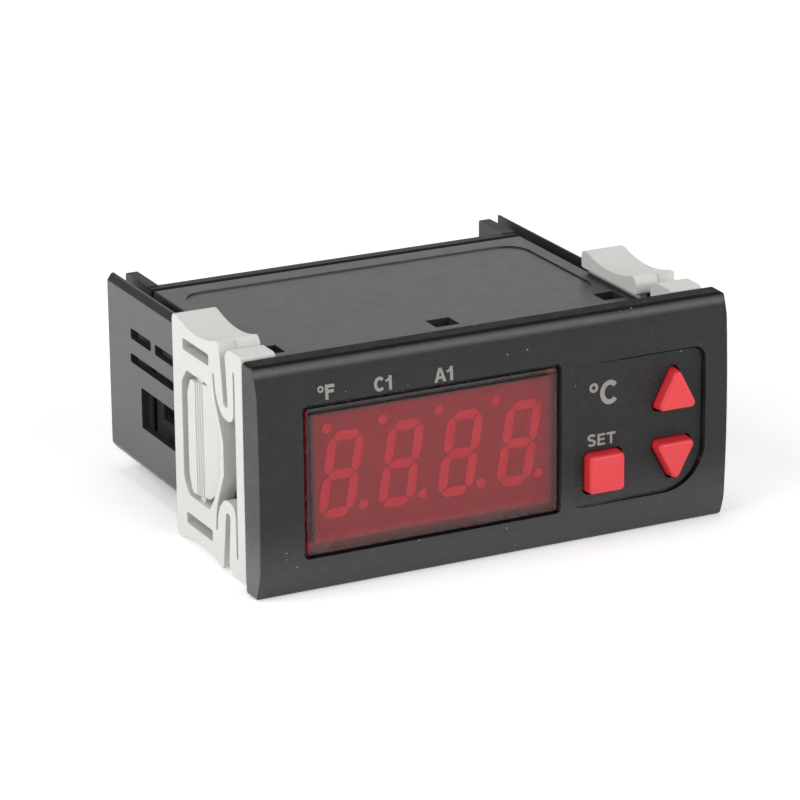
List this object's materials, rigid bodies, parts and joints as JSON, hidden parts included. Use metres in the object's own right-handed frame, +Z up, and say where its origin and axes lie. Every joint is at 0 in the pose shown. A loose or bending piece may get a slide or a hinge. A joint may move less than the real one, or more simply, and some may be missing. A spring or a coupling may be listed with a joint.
{
  "type": "temperature controller",
  "caption": "Panel-mount digital temperature controller with a red segment display, square and triangular keys, rear screw terminals and slide-on panel clips.",
  "frame": {"origin": "centre of the back face of the front bezel, the face that seats on the panel", "axes": "+X to the right seen from the front, +Y rearward through the panel, +Z up"},
  "size_m": [0.077, 0.0648, 0.035],
  "materials": {
    "bezel_black": "fine spark texture",
    "red_lens": "satin, smoke red",
    "key_red": "satin",
    "black_plastic": "moulded",
    "display_face": "dull red epoxy",
    "segment_red": "unlit segments",
    "circuit_board": "solder mask",
    "core_steel": "laminated, varnished",
    "coil_tape": "taped winding",
    "relay_blue": "moulded",
    "cap_sleeve": "sleeved can",
    "absorber_blue": "dipped",
    "case_grey": "satin moulded",
    "terminal_black": "moulded",
    "screw_steel": "zinc plated",
    "clamp_brass": "nickel plated",
    "clip_grey": "satin moulded"
  },
  "bodies": {
    "controller": {"front_bezel": "bezel_black", "display_window": "red_lens", "tact_switches": "black_plastic", "led_display": "display_face", "digit_segments": "segment_red", "display_board": "circuit_board", "main_board": "circuit_board", "board_header": "black_plastic", "transformer_core": "core_steel", "transformer_coil": "coil_tape", "output_relay": "relay_blue", "capacitors": "cap_sleeve", "sounder": "black_plastic", "control_chip": "black_plastic", "surge_absorber": "absorber_blue", "case_body": "case_grey", "rear_cover": "case_grey", "terminal_block": "terminal_black", "terminal_screws": "screw_steel", "terminal_clamps": "clamp_brass"},
    "set_key": {"set_button": "key_red", "set_plunger": "black_plastic"},
    "up_key": {"up_button": "key_red", "up_plunger": "black_plastic"},
    "down_key": {"down_button": "key_red", "down_plunger": "black_plastic"},
    "left_clip_body": {"left_clip": "clip_grey"},
    "right_clip_body": {"right_clip": "clip_grey"}
  },
  "joints": [
    {"name": "set_press", "type": "slide", "parent": "controller", "child": "set_key", "axis": [0, 1, 0], "range_m": [0, 0.0005], "stiffness_N_per_m": 1500, "springref_m": -0.0002},
    {"name": "up_press", "type": "slide", "parent": "controller", "child": "up_key", "axis": [0, 1, 0], "range_m": [0, 0.0005], "stiffness_N_per_m": 1500, "springref_m": -0.0002},
    {"name": "down_press", "type": "slide", "parent": "controller", "child": "down_key", "axis": [0, 1, 0], "range_m": [0, 0.0005], "stiffness_N_per_m": 1500, "springref_m": -0.0002},
    {"name": "left_clip_slide", "type": "slide", "parent": "controller", "child": "left_clip_body", "axis": [0, 1, 0], "range_m": [-0.0022, 0.058]},
    {"name": "right_clip_slide", "type": "slide", "parent": "controller", "child": "right_clip_body", "axis": [0, 1, 0], "range_m": [-0.0018, 0.0584]}
  ]
}
